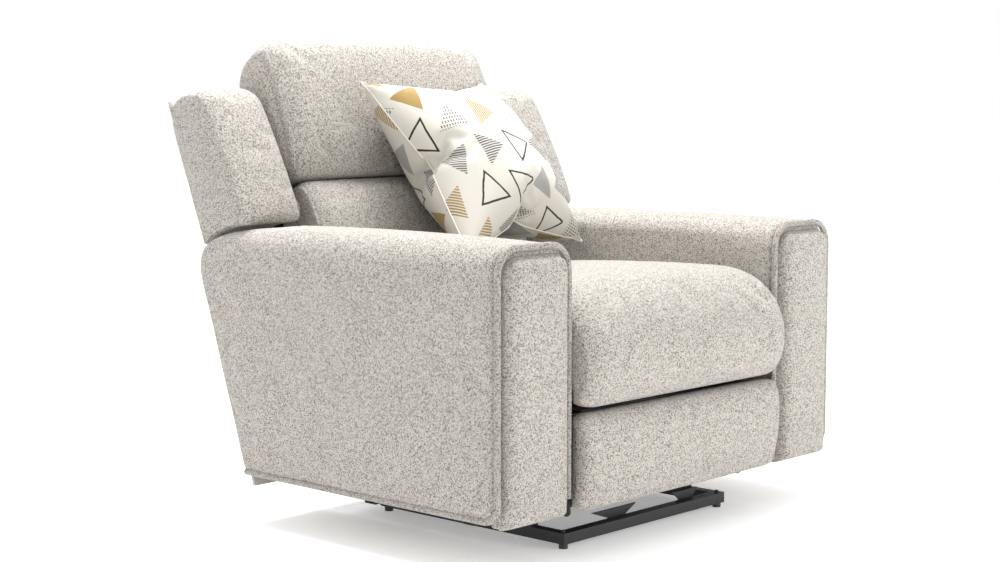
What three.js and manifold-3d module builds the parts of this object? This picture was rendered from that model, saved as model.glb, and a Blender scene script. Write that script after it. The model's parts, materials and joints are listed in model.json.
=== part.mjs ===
// Power recliner armchair: upholstered arms, gliding seat, reclining winged back, lift-out footrest.
// Millimetres, +X to the right when facing the chair's front, -Y to the front, +Z up.
// Origin on the floor, under the middle of the bounding box.
import * as THREE from 'three';
import { mergeVertices } from 'three/addons/utils/BufferGeometryUtils.js';
import Module from 'manifold-3d';

const wasm = await Module();
wasm.setup();

// ---------------------------------------------------------------- driving dimensions
const gap = 0.3;                 // between pieces that rest on each other
const overallWidth = 1060;
const armWidth = 199;
const armTopZ = 604;
const skirtZ = 94;               // underside of the arms and of the footrest
const armFrontY = -482;
const armEdgeRadius = 46;        // rounding of the arm top, seen from the front
const weltWidth = 24;            // flange around each arm's front pad
const armRearDrop = 96;          // arm top down to the top of its raked rear edge
const armRearRake = 0.3408;      // rearward run of that edge per millimetre of height
const armRearBottomY = 246;
const frontPadDepth = 22;

const seatSideGap = 3;           // seat cushion to arm
const seatTopZ = 505;
const seatFrontY = -515;
const seatRearY = 168;
const seatNoseBottomZ = 291;
const seatFrameZ = 300;
const seatFrameHeight = 56;
const springWire = 2;            // radius
const springCount = 3;

const footrestFrontY = -501;
const footrestPadDepth = 55;
const footrestTopZ = 279;
const footrestBoardDepth = 12;

const backPivot = { y: 238, z: 300 };
const backTilt = 23;             // degrees back from upright
const backRecline = 38;          // degrees further back
const backRearOffset = 38.8;     // pivot line to the outside back
const backDepth = 151;           // wing front to outside back
const wingTop = 606;             // along the back, from the pivot
const wingWidth = 166;
const lumbarFrom = 120;
const headFrom = 391;
const headTop = 723;
const headHalfWidth = 334;
const wingArmGap = 8;            // between the wing's underside and the arm's rounded shoulder

const railHeight = 22;
const railDepth = 24;
const railWall = 2;
const footHeight = 10;
const footRadius = 9;
const stemRadius = 4;
const footFrontY = -379;
const footRearY = 107;
const footX = 250;
const postHeight = 30;           // from the side rail up to the arm beams
const beamHeight = 30;
const beamDepth = 30;

const plateThickness = 5;
const linkThickness = 4;
const linkHalfWidth = 10;
const linkFloorGap = 50;         // folded low joint above the base rails
const linkFoldedSpread = 80;     // link to the reach line when folded, degrees
const linkOpenSpread = 20;
const reachFoldedRise = 0;       // rise of the reach line when folded, degrees
const reachOpenRise = 10;
const rivetRadius = 4;
const rivetClearance = 0.35;
const liftCrank = 50;
const reclineCrank = 60;
const carriageSlotPlay = 1.5;

const cushionSize = 450;         // loose scatter cushion
const cushionThickness = 165;
const cushionLean = 38;          // degrees back from upright
const cushionFoot = { x: 100, y: 14, z: 540 };

// ---------------------------------------------------------------- derived places
const armInnerX = overallWidth / 2 - armWidth;
const seatHalfWidth = armInnerX - seatSideGap;
const plateX = armInnerX - 47;
const outerLinkX = plateX - 2 * linkThickness;
const innerLinkX = outerLinkX - 2 * linkThickness;
const sideRailX = footX + 11;
const railTopZ = footHeight + railHeight;
const beamZ = railTopZ + postHeight;
const beamTopZ = beamZ + beamHeight;
const footrestBackY = footrestFrontY + footrestPadDepth;
const liftPivot = new THREE.Vector2(footrestBackY + 99, footrestTopZ - 17);
const linkLength = (liftPivot.y - railTopZ - linkFloorGap)
  / Math.sin(THREE.MathUtils.degToRad(linkFoldedSpread - reachFoldedRise));

// ---------------------------------------------------------------- materials
function material(color, roughness, metalness = 0) {
  return new THREE.MeshStandardMaterial({ color, roughness, metalness });
}

const fabric = () => material(0xcfc9c0, 0.95);
const backing = () => material(0x8c8782, 0.9);
const steel = () => material(0x17181a, 0.45, 0.7);
const zinc = () => material(0xa9adb2, 0.35, 0.9);
const timber = () => material(0xc9a878, 0.7);
const plastic = () => material(0x1d1e20, 0.5);
const satin = () => material(0xb7babd, 0.35, 0.8);

// ---------------------------------------------------------------- solids
function toSolid(geometry) {
  const bare = geometry.clone();
  bare.deleteAttribute('normal');
  bare.deleteAttribute('uv');
  const merged = mergeVertices(bare, 1e-4);
  const vertProperties = new Float32Array(merged.attributes.position.array);
  const triVerts = new Uint32Array(merged.index.array);
  return new wasm.Manifold(new wasm.Mesh({ numProp: 3, vertProperties, triVerts }));
}

function toGeometry(solid) {
  const mesh = solid.getMesh();
  const geometry = new THREE.BufferGeometry();
  geometry.setAttribute('position', new THREE.BufferAttribute(new Float32Array(mesh.vertProperties), 3));
  geometry.setIndex(new THREE.BufferAttribute(new Uint32Array(mesh.triVerts), 1));
  geometry.computeVertexNormals();
  return geometry;
}

function join(first, ...others) {
  return toGeometry(others.reduce((whole, other) => whole.add(toSolid(other)), toSolid(first)));
}

function cut(first, ...others) {
  return toGeometry(others.reduce((whole, other) => whole.subtract(toSolid(other)), toSolid(first)));
}

function common(first, second) {
  return toGeometry(toSolid(first).intersect(toSolid(second)));
}

function mirrorX(geometry) {
  const copy = geometry.index ? geometry.clone() : mergeVertices(geometry);
  copy.scale(-1, 1, 1);
  const index = copy.index.array;
  for (let i = 0; i < index.length; i += 3) {
    [index[i], index[i + 1]] = [index[i + 1], index[i]];
  }
  copy.computeVertexNormals();
  return copy;
}

function block(x0, x1, y0, y1, z0, z1) {
  const geometry = new THREE.BoxGeometry(x1 - x0, y1 - y0, z1 - z0);
  return geometry.translate((x0 + x1) / 2, (y0 + y1) / 2, (z0 + z1) / 2);
}

// Outline drawn in (y, z), swept from x0 to x1.
function sweepX(outline, x0, x1, bevel = 0, steps = 3) {
  const geometry = new THREE.ExtrudeGeometry(outline, {
    depth: x1 - x0 - 2 * bevel,
    bevelEnabled: bevel > 0,
    bevelSize: bevel,
    bevelThickness: bevel,
    bevelOffset: -bevel,
    bevelSegments: steps,
    curveSegments: 8,
  });
  geometry.translate(0, 0, x0 + bevel);
  const turn = new THREE.Matrix4().makeBasis(
    new THREE.Vector3(0, 1, 0), new THREE.Vector3(0, 0, 1), new THREE.Vector3(1, 0, 0));
  return geometry.applyMatrix4(turn);
}

// Outline drawn in (x, z), swept from y0 to y1.
function sweepY(outline, y0, y1, bevel = 0, steps = 3) {
  const geometry = new THREE.ExtrudeGeometry(outline, {
    depth: y1 - y0 - 2 * bevel,
    bevelEnabled: bevel > 0,
    bevelSize: bevel,
    bevelThickness: bevel,
    bevelOffset: -bevel,
    bevelSegments: steps,
    curveSegments: 8,
  });
  geometry.rotateX(Math.PI / 2);
  return geometry.translate(0, y1 - bevel, 0);
}

function polygon(points) {
  return new THREE.Shape(points.map(([a, b]) => new THREE.Vector2(a, b)));
}

function rodX(y, z, radius, x0, x1, sides = 16) {
  const geometry = new THREE.CylinderGeometry(radius, radius, x1 - x0, sides);
  geometry.rotateZ(Math.PI / 2);
  return geometry.translate((x0 + x1) / 2, y, z);
}

function rodY(x, z, radius, y0, y1, sides = 20) {
  const geometry = new THREE.CylinderGeometry(radius, radius, y1 - y0, sides);
  return geometry.translate(x, (y0 + y1) / 2, z);
}

function rodZ(x, y, radius, z0, z1, sides = 16) {
  const geometry = new THREE.CylinderGeometry(radius, radius, z1 - z0, sides);
  geometry.rotateX(Math.PI / 2);
  return geometry.translate(x, y, (z0 + z1) / 2);
}

// Flat bar with round ends around the line from p to q, in (y, z).
function barOutline(p, q, halfWidth) {
  const angle = Math.atan2(q.y - p.y, q.x - p.x);
  const outline = new THREE.Shape();
  outline.absarc(p.x, p.y, halfWidth, angle + Math.PI / 2, angle - Math.PI / 2, false);
  outline.absarc(q.x, q.y, halfWidth, angle - Math.PI / 2, angle + Math.PI / 2, false);
  return outline;
}

// Two mirror-image pieces, drawn for the +X side.
function pair(group, name, makeGeometry, finish) {
  const right = makeGeometry();
  place(group, `${name}_right`, right, finish());
  place(group, `${name}_left`, mirrorX(right), finish());
}

function place(group, name, geometry, finish) {
  const mesh = new THREE.Mesh(geometry, finish);
  mesh.name = name;
  group.add(mesh);
  return mesh;
}

// ---------------------------------------------------------------- arms
const armRearFootZ = skirtZ + 12;
const armRearTop = { y: armRearBottomY + armRearRake * (armTopZ - armRearDrop - armRearFootZ),
  z: armTopZ - armRearDrop };

function armSideOutline(frontY) {
  const outline = new THREE.Shape();
  outline.moveTo(frontY, skirtZ);
  outline.lineTo(armRearBottomY - 10, skirtZ);
  outline.lineTo(armRearBottomY, armRearFootZ);
  outline.lineTo(armRearTop.y, armRearTop.z);
  const shoulderZ = armTopZ - 12;
  outline.bezierCurveTo(armRearTop.y + 10, shoulderZ - 40, backPivot.y + 92, shoulderZ,
    backPivot.y - 13, armTopZ);
  outline.lineTo(frontY, armTopZ);
  return outline;
}

// Inverted U seen from the front: straight sides, rounded top corners.
function archOutline(x0, x1, z0, z1, radius) {
  const outline = new THREE.Shape();
  outline.moveTo(x0, z0);
  outline.lineTo(x1, z0);
  outline.absarc(x1 - radius, z1 - radius, radius, 0, Math.PI / 2, false);
  outline.absarc(x0 + radius, z1 - radius, radius, Math.PI / 2, Math.PI, false);
  return outline;
}

const armRearY = armRearTop.y + 20;
const coverFrontY = armFrontY + frontPadDepth;
const boardHalf = 9;
const armBoardTopZ = armTopZ - 70;
const boardX = armInnerX + 80;

function armCover(pockets = []) {
  const side = sweepX(armSideOutline(coverFrontY), armInnerX, armInnerX + armWidth);
  const arch = archOutline(armInnerX, armInnerX + armWidth, skirtZ - 1, armTopZ, armEdgeRadius);
  const rounded = common(side, sweepY(arch, coverFrontY - 1, armRearY));
  const slot = block(boardX - boardHalf - 1, boardX + boardHalf + 1,
    coverFrontY + 28, armRearBottomY - 38, skirtZ - 1, armBoardTopZ + 1);
  return cut(rounded, slot, ...pockets);
}

function armBoard() {
  return block(boardX - boardHalf, boardX + boardHalf, coverFrontY + 30,
    armRearBottomY - 40, beamTopZ + gap, armBoardTopZ);
}

// Flange band with the padded panel that it frames.
function armFront() {
  const band = archOutline(armInnerX, armInnerX + armWidth, skirtZ + 4, armTopZ, armEdgeRadius);
  const inset = weltWidth;
  const panelOutline = archOutline(armInnerX + inset, armInnerX + armWidth - inset, skirtZ,
    armTopZ - inset, armEdgeRadius - inset + 4);
  return join(sweepY(band, armFrontY + 8, coverFrontY - gap),
    sweepY(panelOutline, armFrontY, coverFrontY - gap, 6, 2));
}

// ---------------------------------------------------------------- control panel on the sitter's right arm
const panel = { y: -250, z: armTopZ - 60, length: 110, height: 34, thickness: 3, pocket: 12 };
const panelProud = seatSideGap / 2;
const buttonProud = seatSideGap / 3;
const buttonRadius = 8;
const buttonSpacing = 26;
const panelFaceX = -armInnerX + panelProud;

function bezelOutline(grow) {
  return polygon([
    [panel.y - panel.length / 2 - grow, panel.z - panel.height / 2 - grow],
    [panel.y + panel.length / 2 + grow, panel.z - panel.height / 2 - grow],
    [panel.y + panel.length / 2 + grow, panel.z + panel.height / 2 + grow],
    [panel.y - panel.length / 2 - grow, panel.z + panel.height / 2 + grow],
  ]);
}

function buttonY(index) {
  return panel.y - 34 + index * buttonSpacing;
}

// Rebate for the bezel, with a deeper pocket behind it for the buttons.
function panelPockets() {
  return [
    sweepX(bezelOutline(gap), panelFaceX - panel.thickness - gap, -armInnerX + 1),
    sweepX(bezelOutline(-5), -armInnerX - panel.pocket, -armInnerX + 1),
  ];
}

function controlPanel() {
  const backX = panelFaceX - panel.thickness;
  const holes = [0, 1].map((i) => rodX(buttonY(i), panel.z, buttonRadius + 0.6,
    backX - 1, panelFaceX + 1, 24));
  const socket = block(backX - 1, panelFaceX + 1, panel.y + 22, panel.y + 36,
    panel.z - 3.5, panel.z + 3.5);
  return cut(sweepX(bezelOutline(0), backX, panelFaceX), ...holes, socket);
}

function controlButton(index) {
  return rodX(buttonY(index), panel.z, buttonRadius, -armInnerX - 5, panelFaceX + buttonProud, 24);
}

// ---------------------------------------------------------------- steel base
function tubeAlongX(x0, x1, y0, y1, z0, z1) {
  return cut(block(x0, x1, y0, y1, z0, z1),
    block(x0 - 1, x1 + 1, y0 + railWall, y1 - railWall, z0 + railWall, z1 - railWall));
}

const sideRailInnerX = footX - 11;

function crossRail(y) {
  const half = railDepth / 2;
  return tubeAlongX(-sideRailInnerX + gap, sideRailInnerX - gap, y - half, y + half,
    footHeight, railTopZ);
}

// Splayed plate behind the front rail, as (x, z): narrow on the rail, wide at the top.
function railPlate(lowLeft, lowRight, highLeft, highRight) {
  const rearY = footFrontY + railDepth / 2;
  return sweepY(polygon([
    [lowLeft, footHeight + 4], [lowRight, footHeight + 4], [lowRight, railTopZ],
    [highRight, railTopZ + 18], [highLeft, railTopZ + 18], [lowLeft, railTopZ],
  ]), rearY - 1, rearY + 3);
}

function frontRail() {
  return join(crossRail(footFrontY), railPlate(-98, -46, -151, -12), railPlate(134, 178, 112, 196));
}

function levellingFoot(x, y) {
  const pad = rodZ(x, y, footRadius, 0, footHeight - gap, 24);
  const stem = rodZ(x, y, stemRadius, footHeight - 1, railTopZ + 4);
  return join(pad, stem);
}

function armBeam(y) {
  const half = boardX + boardHalf + 4;
  return tubeAlongX(-half, half, y - beamDepth / 2, y + beamDepth / 2, beamZ, beamTopZ);
}

const uprightX = sideRailX - 1;

// Side rail with its posts and the welded upright that carries the back pivot.
function sideFrame() {
  const rail = block(sideRailInnerX, sideRailX, footFrontY - railDepth / 2,
    footRearY + railDepth / 2, footHeight, railTopZ);
  const posts = [frontBeamY, rearBeamY].map((y) => block(sideRailInnerX, sideRailX, y - 12, y + 12,
    railTopZ - 1, beamZ - gap));
  const bores = [footFrontY, footRearY].map((y) => rodZ(footX, y, stemRadius + 0.5,
    0, railTopZ + 1));
  const top = new THREE.Vector2(backPivot.y, backPivot.z);
  const plate = sweepX(polygon([
    [footRearY - 97, footHeight + 2],
    [footRearY + 11, footHeight + 2],
    [backPivot.y + 20, backPivot.z - 8],
    [backPivot.y - 20, backPivot.z + 8],
    [footRearY - 97, beamZ - 2 * gap],
  ]), uprightX, uprightX + plateThickness);
  const head = sweepX(barOutline(top, new THREE.Vector2(top.x - 8, top.y - 16), 21),
    uprightX, uprightX + plateThickness);
  const pin = rodX(top.x, top.y, 7, uprightX - 10, uprightX + 1);
  return cut(join(rail, ...posts, plate, head, pin), ...bores);
}

// ---------------------------------------------------------------- rear cover between and behind the arms
function rearCoverY(z) {
  return armRearBottomY + armRearRake * (z - armRearFootZ) + 0.6;
}

function rearCover() {
  const low = skirtZ - 20;
  const high = backPivot.z - 16;
  const thickness = 12;
  return sweepX(polygon([
    [rearCoverY(low), low],
    [rearCoverY(low) + thickness, low],
    [rearCoverY(high) + thickness, high],
    [rearCoverY(high), high],
  ]), -overallWidth / 2 + 25, overallWidth / 2 - 25);
}

// ---------------------------------------------------------------- seat
const noseDepth = 74;
const seatDeckZ = seatFrameZ + seatFrameHeight + 12;

function seatOutline() {
  const top = seatTopZ;
  const front = seatFrontY;
  const outline = new THREE.Shape();
  outline.moveTo(seatRearY, seatDeckZ);
  outline.lineTo(seatRearY, top - 32);
  outline.bezierCurveTo(seatRearY - 150, top - 8, front + 260, top, front + 150, top);
  outline.bezierCurveTo(front + 70, top, front + 22, top - 44, front + 3, top - 96);
  outline.bezierCurveTo(front - 5, top - 140, front + 2, seatNoseBottomZ + 34,
    front + 26, seatNoseBottomZ);
  outline.lineTo(front + noseDepth, seatNoseBottomZ);
  outline.lineTo(front + noseDepth, seatDeckZ);
  return outline;
}

function seatCushion() {
  return sweepX(seatOutline(), -seatHalfWidth, seatHalfWidth, 14, 2);
}

const frameSideWall = 38;
const frameEndWall = 24;
const frameFrontY = seatFrontY + noseDepth + 8;
const frameRearY = seatRearY - 6;
const frameHalf = seatHalfWidth - 8;

function seatFrame() {
  const high = seatFrameZ + seatFrameHeight;
  return cut(block(-frameHalf, frameHalf, frameFrontY, frameRearY, seatFrameZ, high),
    block(-frameHalf + frameSideWall, frameHalf - frameSideWall, frameFrontY + frameEndWall,
      frameRearY - frameEndWall, seatFrameZ - 1, high + 1));
}

// Zigzag wire laid over the frame from front rail to rear rail.
function seatSpring(index) {
  const x = (index - (springCount - 1) / 2) * 170;
  const z = seatFrameZ + seatFrameHeight + springWire + gap;
  const from = frameFrontY + 8;
  const to = frameRearY - 8;
  const waves = 9;
  const points = [];
  for (let i = 0; i <= waves * 2; i += 1) {
    const side = i % 2 === 0 ? -1 : 1;
    points.push(new THREE.Vector3(x + side * 24, from + (to - from) * i / (waves * 2), z));
  }
  const wire = new THREE.Shape();
  wire.absarc(0, 0, springWire, 0, Math.PI * 2, false);
  return new THREE.ExtrudeGeometry(wire, {
    extrudePath: new THREE.CatmullRomCurve3(points, false, 'catmullrom', 0.5),
    steps: 72,
    curveSegments: 3,
  });
}

const plateFrontY = liftPivot.x - 27;
const plateLobeZ = railTopZ + linkFloorGap - 20;
const glideLowZ = beamTopZ + 5;

// Cross link's near rivet position for a share t of the lift, from folded (0) to open (1).
function guidePoint(t) {
  const spread = linkFoldedSpread + (linkOpenSpread - linkFoldedSpread) * t;
  const rise = THREE.MathUtils.degToRad(reachFoldedRise + (reachOpenRise - reachFoldedRise) * t);
  const drop = linkLength * Math.sin(THREE.MathUtils.degToRad(spread));
  return new THREE.Vector2(liftPivot.x - drop * Math.sin(rise), liftPivot.y - drop * Math.cos(rise));
}

function guideSlot() {
  const count = 10;
  const slots = [];
  for (let i = 0; i < count; i += 1) {
    slots.push(sweepX(barOutline(guidePoint(i / count), guidePoint((i + 1) / count),
      rivetRadius + 0.8), plateX - 1, plateX + plateThickness + 1));
  }
  return slots;
}

function seatPlate() {
  const rearY = frameRearY - 70;
  const outline = polygon([
    [plateFrontY, plateLobeZ],
    [liftPivot.x + 8, plateLobeZ],
    [liftPivot.x + 8, glideLowZ],
    [footRearY - 60, glideLowZ],
    [rearY, seatFrameZ - 60],
    [rearY, seatFrameZ - gap],
    [plateFrontY, seatFrameZ - gap],
  ]);
  const plate = sweepX(outline, plateX, plateX + plateThickness);
  const pivotHole = rodX(liftPivot.x, liftPivot.y, rivetRadius + rivetClearance, plateX - 1,
    plateX + plateThickness + 1);
  return cut(plate, pivotHole, ...guideSlot());
}

function glideChannel() {
  const wall = 3;
  const play = 1.2;
  const low = beamTopZ + gap;
  const high = low + 15;
  const rear = footRearY - 20;
  return cut(
    block(plateX - play - wall, plateX + plateThickness + play + wall, liftPivot.x + 27, rear,
      low, high),
    block(plateX - play, plateX + plateThickness + play, liftPivot.x + 26, rear + 1,
      low + wall, high + 1));
}

// ---------------------------------------------------------------- footrest linkage
function linkEnds(t) {
  const spread = linkFoldedSpread + (linkOpenSpread - linkFoldedSpread) * t;
  const rise = reachFoldedRise + (reachOpenRise - reachFoldedRise) * t;
  const step = (angle) => new THREE.Vector2(
    -linkLength * Math.cos(THREE.MathUtils.degToRad(angle)),
    linkLength * Math.sin(THREE.MathUtils.degToRad(angle)));
  const low = liftPivot.clone().add(step(rise - spread));
  const far = low.clone().add(step(rise + spread));
  const guide = guidePoint(t);
  const high = guide.clone().add(step(rise + spread));
  const farLow = high.clone().add(step(rise - spread));
  return { low, far, guide, high, farLow };
}

const folded = linkEnds(0);

function midpoint(p, q) {
  return p.clone().add(q).multiplyScalar(0.5);
}

// A flat link in one plane, with holes and with rivets that reach into the next plane.
function link(p, q, x, holes, rivets) {
  const plate = sweepX(barOutline(p, q, linkHalfWidth), x, x + linkThickness);
  const bores = holes.map((at) => rodX(at.x, at.y, rivetRadius + rivetClearance, x - 1,
    x + linkThickness + 1));
  const cutPlate = bores.length ? cut(plate, ...bores) : plate;
  const pins = rivets.map(({ at, x0, x1 }) => rodX(at.x, at.y, rivetRadius, x0, x1));
  return pins.length ? join(cutPlate, ...pins) : cutPlate;
}

// Lift link: seat plate pivot to the low joint, outer plane.
function liftLink() {
  return link(liftPivot, folded.low, outerLinkX, [midpoint(liftPivot, folded.low)],
    [{ at: liftPivot, x0: outerLinkX + 1, x1: plateX + plateThickness },
      { at: folded.low, x0: innerLinkX, x1: outerLinkX + 1 }]);
}

// Cross link: guided rivet to the high joint, inner plane.
function crossLink() {
  return link(folded.guide, folded.high, innerLinkX, [],
    [{ at: folded.guide, x0: innerLinkX + 1, x1: plateX + plateThickness },
      { at: midpoint(folded.guide, folded.high), x0: innerLinkX + 1, x1: outerLinkX + linkThickness },
      { at: folded.high, x0: innerLinkX + 1, x1: outerLinkX + linkThickness }]);
}

// Reach link: low joint to the footrest, inner plane.
function reachLink() {
  return link(folded.low, folded.far, innerLinkX, [folded.low],
    [{ at: midpoint(folded.low, folded.far), x0: innerLinkX + 1, x1: outerLinkX + linkThickness },
      { at: folded.far, x0: innerLinkX - linkThickness - 2, x1: innerLinkX + 1 }]);
}

// Outer link: high joint down to its free end, outer plane.
function outerLink() {
  const end = folded.farLow;
  const centre = midpoint(folded.high, end);
  const plate = link(folded.high, end, outerLinkX, [folded.high], []);
  return cut(plate, rodX(centre.x, centre.y, rivetRadius + 0.8, outerLinkX - 1,
    outerLinkX + linkThickness + 1));
}

// Cross tube between the two lift links, with the crank that the carriage pushes.
function liftTube() {
  const half = THREE.MathUtils.degToRad(liftTurn / 2);
  const end = new THREE.Vector2(liftPivot.x + liftCrank * Math.sin(half),
    liftPivot.y - liftCrank * Math.cos(half));
  const tube = rodX(liftPivot.x, liftPivot.y, 10, -outerLinkX + gap, outerLinkX - gap, 20);
  const crank = sweepX(barOutline(liftPivot, end, 9), -4, 4);
  return join(tube, crank, rodX(end.x, end.y, 5, -16, 16));
}

const liftTurn = (linkFoldedSpread - linkOpenSpread) + (reachOpenRise - reachFoldedRise);
const bracketX = innerLinkX - linkThickness - 2;

function footrestBracket() {
  const boardY = footrestBackY + footrestBoardDepth + 2 * gap;
  const x0 = bracketX - linkThickness;
  const x1 = bracketX + linkThickness - 2;
  const ear = sweepX(barOutline(folded.far, new THREE.Vector2(boardY + 14, folded.far.y), 11), x0, x1);
  const strip = block(x0, x1, boardY, boardY + 20, footrestTopZ - 120, footrestTopZ - 2);
  return cut(join(ear, strip), rodX(folded.far.x, folded.far.y, rivetRadius + rivetClearance,
    x0 - 1, x1 + 1));
}

function footrestBoard() {
  return block(-seatHalfWidth + 12, seatHalfWidth - 12, footrestBackY + gap,
    footrestBackY + gap + footrestBoardDepth, skirtZ + 6, footrestTopZ - 4);
}

function footrestPad() {
  const front = footrestFrontY;
  const back = footrestBackY;
  const outline = new THREE.Shape();
  outline.moveTo(back, skirtZ);
  outline.lineTo(back, footrestTopZ);
  outline.lineTo(front + 18, footrestTopZ);
  outline.bezierCurveTo(front + 4, footrestTopZ - 4, front, footrestTopZ - 30,
    front, footrestTopZ - 62);
  outline.bezierCurveTo(front, skirtZ + 70, front + 10, skirtZ + 26, front + 20, skirtZ);
  return sweepX(outline, -seatHalfWidth + 3, seatHalfWidth - 3, 8, 2);
}

// ---------------------------------------------------------------- drives
const liftPin = {
  y: liftPivot.x + liftCrank * Math.sin(THREE.MathUtils.degToRad(liftTurn / 2)),
  z: liftPivot.y - liftCrank * Math.cos(THREE.MathUtils.degToRad(liftTurn / 2)),
};
const liftTrackZ = liftPivot.y - liftCrank - 33;
const trackHeight = 22;
const motorTubeY = liftPivot.x + 162;

function liftTrack() {
  return sweepY(polygon([
    [-20, liftTrackZ - trackHeight], [20, liftTrackZ - trackHeight],
    [20, liftTrackZ - 6], [12, liftTrackZ - 6], [12, liftTrackZ],
    [-12, liftTrackZ], [-12, liftTrackZ - 6], [-20, liftTrackZ - 6],
  ]), plateFrontY - 20, motorTubeY - 26);
}

function gearMotor(y, z, direction) {
  const gearbox = block(-34, 34, y - 25, y + 25, z - 44, z + 18);
  const flange = rodX(y, z - 16, 27, direction > 0 ? 33 : -44, direction > 0 ? 44 : -33, 24);
  const can = rodX(y, z - 16, 24, direction > 0 ? 43 : -150, direction > 0 ? 150 : -43, 24);
  return join(gearbox, flange, can);
}

function liftCarriage() {
  const play = 5 + carriageSlotPlay;
  const baseTop = liftPin.z - 25;
  const body = block(-24, 24, liftPin.y - 24, liftPin.y + 24, liftTrackZ + gap, baseTop);
  const cheeks = [-16, 7].map((x) => block(x, x + 9, liftPin.y - play - 8, liftPin.y + play + 8,
    baseTop - 1, liftPin.z + 9));
  const slot = block(-25, 25, liftPin.y - play, liftPin.y + play, baseTop, liftPin.z + 20);
  return cut(join(body, ...cheeks), slot);
}

function motorTube() {
  const top = liftTrackZ + 18 + gap;
  return rodX(motorTubeY, top + 10, 10, -plateX + gap, plateX - gap, 20);
}

const reclinePinAngle = THREE.MathUtils.degToRad(backRecline / 2);
const reclinePin = {
  y: backPivot.y + reclineCrank * Math.sin(reclinePinAngle),
  z: backPivot.z - reclineCrank * Math.cos(reclinePinAngle),
};
const reclineTubeRadius = 8;
const reclineTrackZ = reclinePin.z - 52;
const reclineMotorY = footRearY - 190;
const rearBeamY = footRearY - 127;
const frontBeamY = footFrontY + 87;

function reclineTrack() {
  const rail = sweepY(polygon([
    [-20, reclineTrackZ - trackHeight], [20, reclineTrackZ - trackHeight],
    [20, reclineTrackZ - 6], [12, reclineTrackZ - 6], [12, reclineTrackZ],
    [-12, reclineTrackZ], [-12, reclineTrackZ - 6], [-20, reclineTrackZ - 6],
  ]), reclineMotorY + 26, backPivot.y - 2);
  const post = block(-16, 16, rearBeamY - 12, rearBeamY + 12, beamTopZ + gap,
    reclineTrackZ - trackHeight + 1);
  return join(rail, post);
}

function reclineCarriage() {
  const play = reclineTubeRadius + 1.2;
  const low = reclineTrackZ + gap;
  const floor = reclinePin.z - reclineTubeRadius - 6;
  const body = block(-24, 24, backPivot.y - 66, backPivot.y - 8, low, floor);
  const arm = block(-16, 16, backPivot.y - 9, reclinePin.y + play + 7, floor - 14, floor);
  const prongs = [reclinePin.y - play - 7, reclinePin.y + play].map((y) => block(-16, 16, y, y + 7,
    floor - 1, reclinePin.z + 12));
  return join(body, arm, ...prongs);
}

function powerInlet() {
  const y = rearBeamY + beamDepth / 2 + gap;
  const x = 150;
  const body = block(x, x + 36, y, y + 34, beamZ, beamZ + 24);
  return cut(body, rodY(x + 18, beamZ + 12, 5, y + 14, y + 40, 20));
}

// ---------------------------------------------------------------- back, drawn upright from its pivot
const wingInnerX = overallWidth / 2 - 18 - wingWidth;
const wingOuterX = overallWidth / 2 - 18;
const wingFrontY = backRearOffset - backDepth;
const coverThickness = 14;
const backInnerY = backRearOffset - coverThickness - gap;
const boardThickness = 18;
const boardFrontY = backInnerY - boardThickness;
const cushionBackY = boardFrontY - gap;
const backHalfWidth = armInnerX - 12;
const armShoulderRadius = Math.hypot(armTopZ - backPivot.z, 13);
const wingFootRadius = armShoulderRadius + wingArmGap;

function wingOutline(frontY, rearY) {
  const start = Math.atan2(Math.sqrt(wingFootRadius ** 2 - rearY ** 2), rearY);
  const end = Math.atan2(Math.sqrt(wingFootRadius ** 2 - frontY ** 2), frontY);
  const outline = new THREE.Shape();
  outline.absarc(0, 0, wingFootRadius, start, end, false);
  outline.lineTo(frontY + 14, wingTop - 30);
  outline.quadraticCurveTo(frontY + 20, wingTop - 4, frontY + 50, wingTop);
  outline.lineTo(rearY - 26, wingTop + 14);
  outline.quadraticCurveTo(rearY, wingTop + 14, rearY, wingTop - 10);
  return outline;
}

function wing() {
  return sweepX(wingOutline(wingFrontY, backInnerY), wingInnerX, wingOuterX, 6, 2);
}

function outsideBack() {
  const low = 22;
  const shoulder = wingFootRadius;
  const outline = polygon([
    [-backHalfWidth, low], [backHalfWidth, low], [backHalfWidth, shoulder],
    [wingOuterX - 6, shoulder], [wingOuterX - 6, wingTop + 12],
    [-wingOuterX + 6, wingTop + 12], [-wingOuterX + 6, shoulder], [-backHalfWidth, shoulder],
  ]);
  return sweepY(outline, backInnerY + gap, backRearOffset);
}

function backBoard() {
  return block(-backHalfWidth, backHalfWidth, boardFrontY, backInnerY, 36, wingTop - 12);
}

function lumbarCushion() {
  const front = wingFrontY + 6;
  const outline = new THREE.Shape();
  outline.moveTo(cushionBackY, lumbarFrom);
  outline.lineTo(cushionBackY, headFrom - 3);
  outline.lineTo(front + 22, headFrom - 3);
  outline.bezierCurveTo(front - 6, headFrom - 30, front - 8, lumbarFrom + 60, front + 12, lumbarFrom);
  return sweepX(outline, -backHalfWidth, backHalfWidth, 10, 2);
}

function headCushion() {
  const front = wingFrontY;
  const outline = new THREE.Shape();
  outline.moveTo(cushionBackY, headFrom);
  outline.lineTo(cushionBackY, wingTop);
  outline.bezierCurveTo(cushionBackY - 2, wingTop + 60, -26, headTop - 30, -44, headTop - 12);
  outline.bezierCurveTo(-62, headTop + 4, front + 4, headTop + 4, front - 8, headTop - 34);
  outline.bezierCurveTo(front - 20, headTop - 80, front - 20, headFrom + 70, front + 18, headFrom);
  return sweepX(outline, -headHalfWidth, headHalfWidth, 14, 3);
}

// Hinge bracket beside each base upright, with the crank below the pivot.
const bracketThickness = plateThickness;
const backBracketX = uprightX - gap - bracketThickness - 1;

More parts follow.
